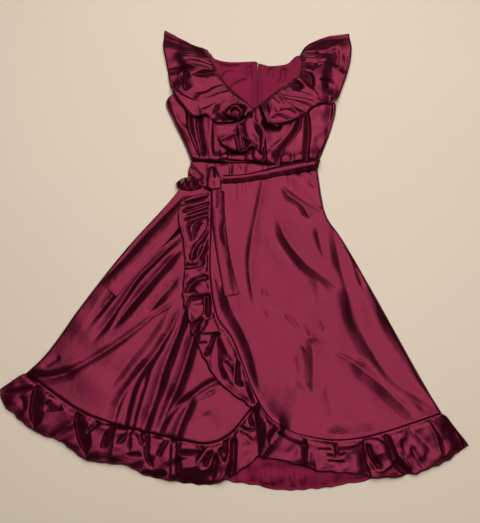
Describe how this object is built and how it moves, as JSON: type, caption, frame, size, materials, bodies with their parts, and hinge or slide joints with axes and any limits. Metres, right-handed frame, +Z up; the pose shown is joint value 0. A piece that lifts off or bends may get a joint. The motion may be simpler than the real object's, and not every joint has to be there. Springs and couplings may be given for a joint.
{
  "type": "wrap dress",
  "caption": "Sleeveless satin wrap dress laid flat, with flutter collars, a cascade, a tie belt and ruffles round its hem.",
  "frame": {"origin": "on the surface the dress lies on, under the middle of the laid-out dress", "axes": "+Y from the hem to the neck, +X to the wearer's left (right as seen from above), +Z up out of the front"},
  "size_m": [1.2058, 1.3807, 0.0257],
  "materials": {
    "satin": "burgundy polyester satin, right side, glossy",
    "satin_wrong_side": "burgundy polyester satin, wrong side, dull",
    "zip_tape": "woven zip tape, matt"
  },
  "bodies": {
    "root": {"skirt_back": "satin", "skirt_front_under": "satin", "skirt_front_over": "satin", "wrap_ruffle": "satin", "hem_ruffle_over": "satin", "hem_ruffle_under": "satin", "bodice_front_right": "satin", "bodice_front_left": "satin", "collar_ruffle_right": "satin", "collar_ruffle_left": "satin", "cascade_ruffle": "satin", "cascade_curl": "satin", "waistband_front": "satin", "waistband_back": "satin", "belt_back": "satin", "belt_side": "satin", "belt_front": "satin", "belt_loop": "satin", "belt_knot": "satin", "belt_tail_long": "satin", "belt_tail_side": "satin", "bodice_back_right": "satin_wrong_side", "bodice_back_left": "satin_wrong_side", "hem_ruffle_back": "satin_wrong_side", "zip_tape_right": "zip_tape", "zip_tape_left": "zip_tape"}
  },
  "joints": []
}
